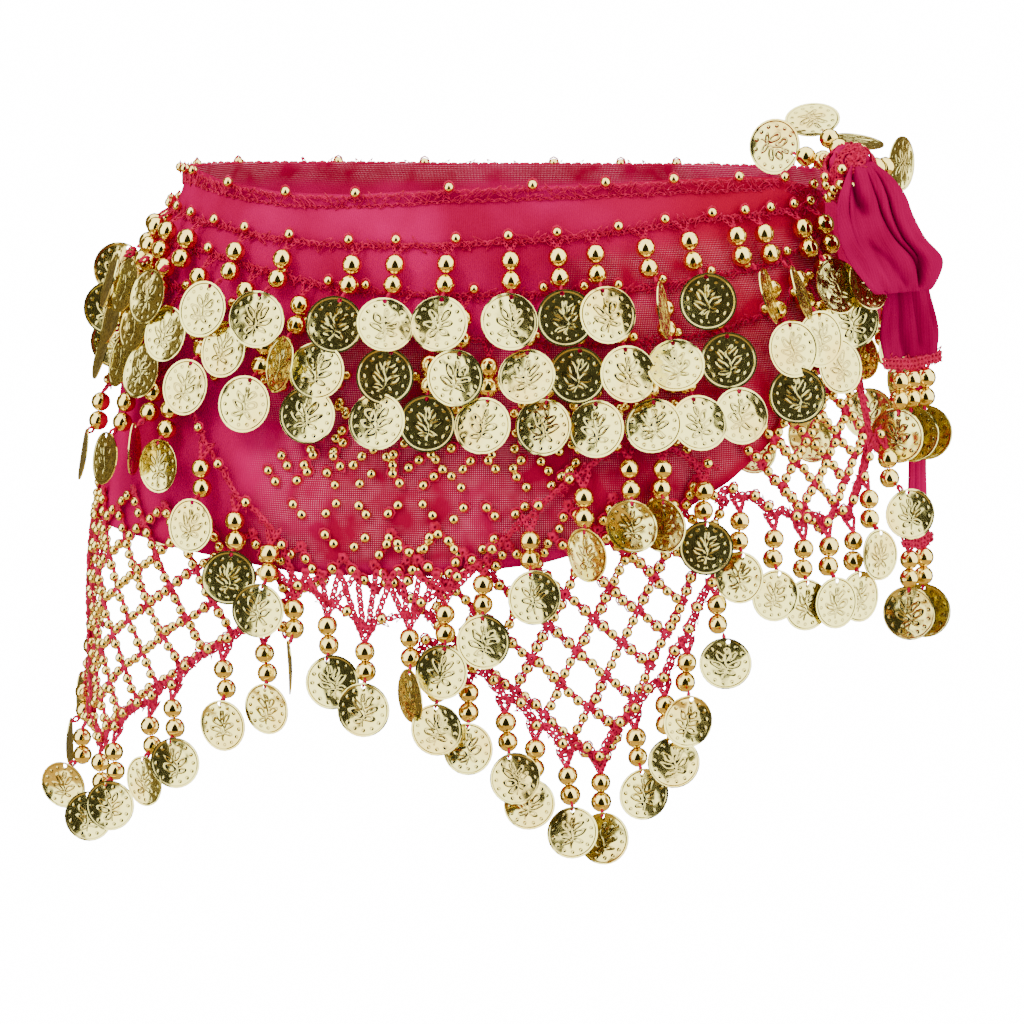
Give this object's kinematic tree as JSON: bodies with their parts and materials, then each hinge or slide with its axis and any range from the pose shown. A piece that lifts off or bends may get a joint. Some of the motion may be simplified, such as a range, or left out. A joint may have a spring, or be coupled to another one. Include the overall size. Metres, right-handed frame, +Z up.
{
  "type": "belly dance hip scarf",
  "caption": "Hip scarf worn round the hips and tied at one side in a half bow, with rows of bead and coin drops and open net points below the hem.",
  "frame": {"origin": "centre of the waist opening, level with the top edge at the sides, where the wearer's hips hold the scarf", "axes": "+Z up out of the waist opening, +X towards the wearer's left, where it is tied, and -Y towards the front"},
  "size_m": [0.3754, 0.2712, 0.3058],
  "materials": {
    "velvet": "soft velvet with a slight sheen",
    "crochet": "matte crochet yarn",
    "gold": "polished gold coating on beads and stamped foil coins"
  },
  "bodies": {
    "root": {"cloth_front": "velvet", "cloth_back": "velvet", "bow_loop": "velvet", "tail_upper": "velvet", "tail_lower": "velvet", "trim_front": "crochet", "trim_back": "crochet", "net_left": "crochet", "net_centre": "crochet", "net_right": "crochet", "knot": "crochet", "row_1_front": "gold", "row_1_back": "gold", "row_2_front": "gold", "row_2_back": "gold", "row_3_front": "gold", "row_3_back": "gold", "row_4_front": "gold", "row_4_back": "gold", "edge_left": "gold", "edge_centre": "gold", "edge_right": "gold", "tail_upper_drops": "gold", "tail_lower_drops": "gold"}
  },
  "joints": []
}
